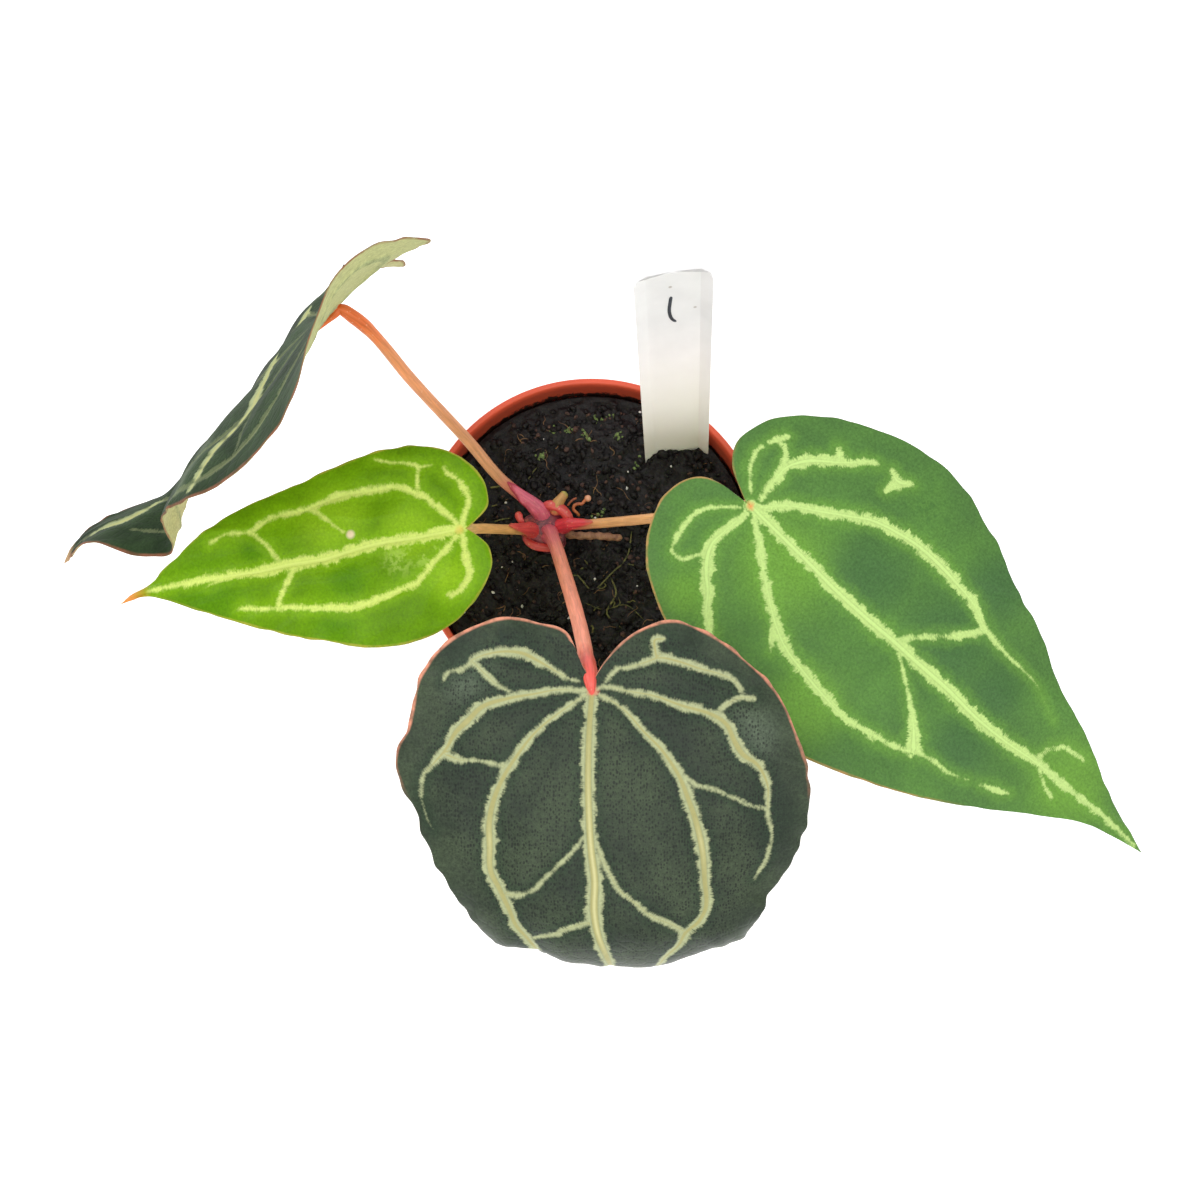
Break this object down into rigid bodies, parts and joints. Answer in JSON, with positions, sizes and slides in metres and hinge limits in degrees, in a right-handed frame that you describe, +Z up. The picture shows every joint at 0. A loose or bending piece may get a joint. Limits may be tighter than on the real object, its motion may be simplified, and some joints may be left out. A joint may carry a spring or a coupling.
{
  "type": "potted anthurium hybrid",
  "caption": "Young anthurium hybrid with veined heart-shaped leaves on arching stalks, rooted in a round nursery pot of dark mix with a plain folded label.",
  "frame": {"origin": "middle of the pot's flat underside, on the surface that it stands on", "axes": "+Z up through the pot's axis, -Y towards the viewer, +X to the right, along the longest spread of the leaves"},
  "size_m": [0.2797, 0.1763, 0.1787],
  "materials": {
    "pot": "satin moulded plastic",
    "soil": "moist peat and bark mix",
    "crown": "smooth wine-red plant tissue",
    "stalk_front": "smooth, slightly glossy",
    "stalk_tan": "smooth, slightly glossy",
    "stalk_back": "smooth, slightly glossy",
    "leaf_dark": "velvety",
    "leaf_mid": "satin",
    "leaf_young": "glossy",
    "leaf_old": "velvety",
    "sheath": "glossy",
    "root": "dry and rough",
    "label": "satin plastic sheet"
  },
  "bodies": {
    "root": {"pot": "pot", "soil": "soil", "stem": "crown", "petiole_front": "stalk_front", "petiole_right": "stalk_tan", "petiole_left": "stalk_tan", "petiole_back": "stalk_back", "blade_front": "leaf_dark", "blade_right": "leaf_mid", "blade_left": "leaf_young", "blade_back": "leaf_old", "cataphyll_left": "sheath", "cataphyll_right": "sheath", "cataphyll_back": "sheath", "aerial_root": "root", "label": "label"}
  },
  "joints": []
}
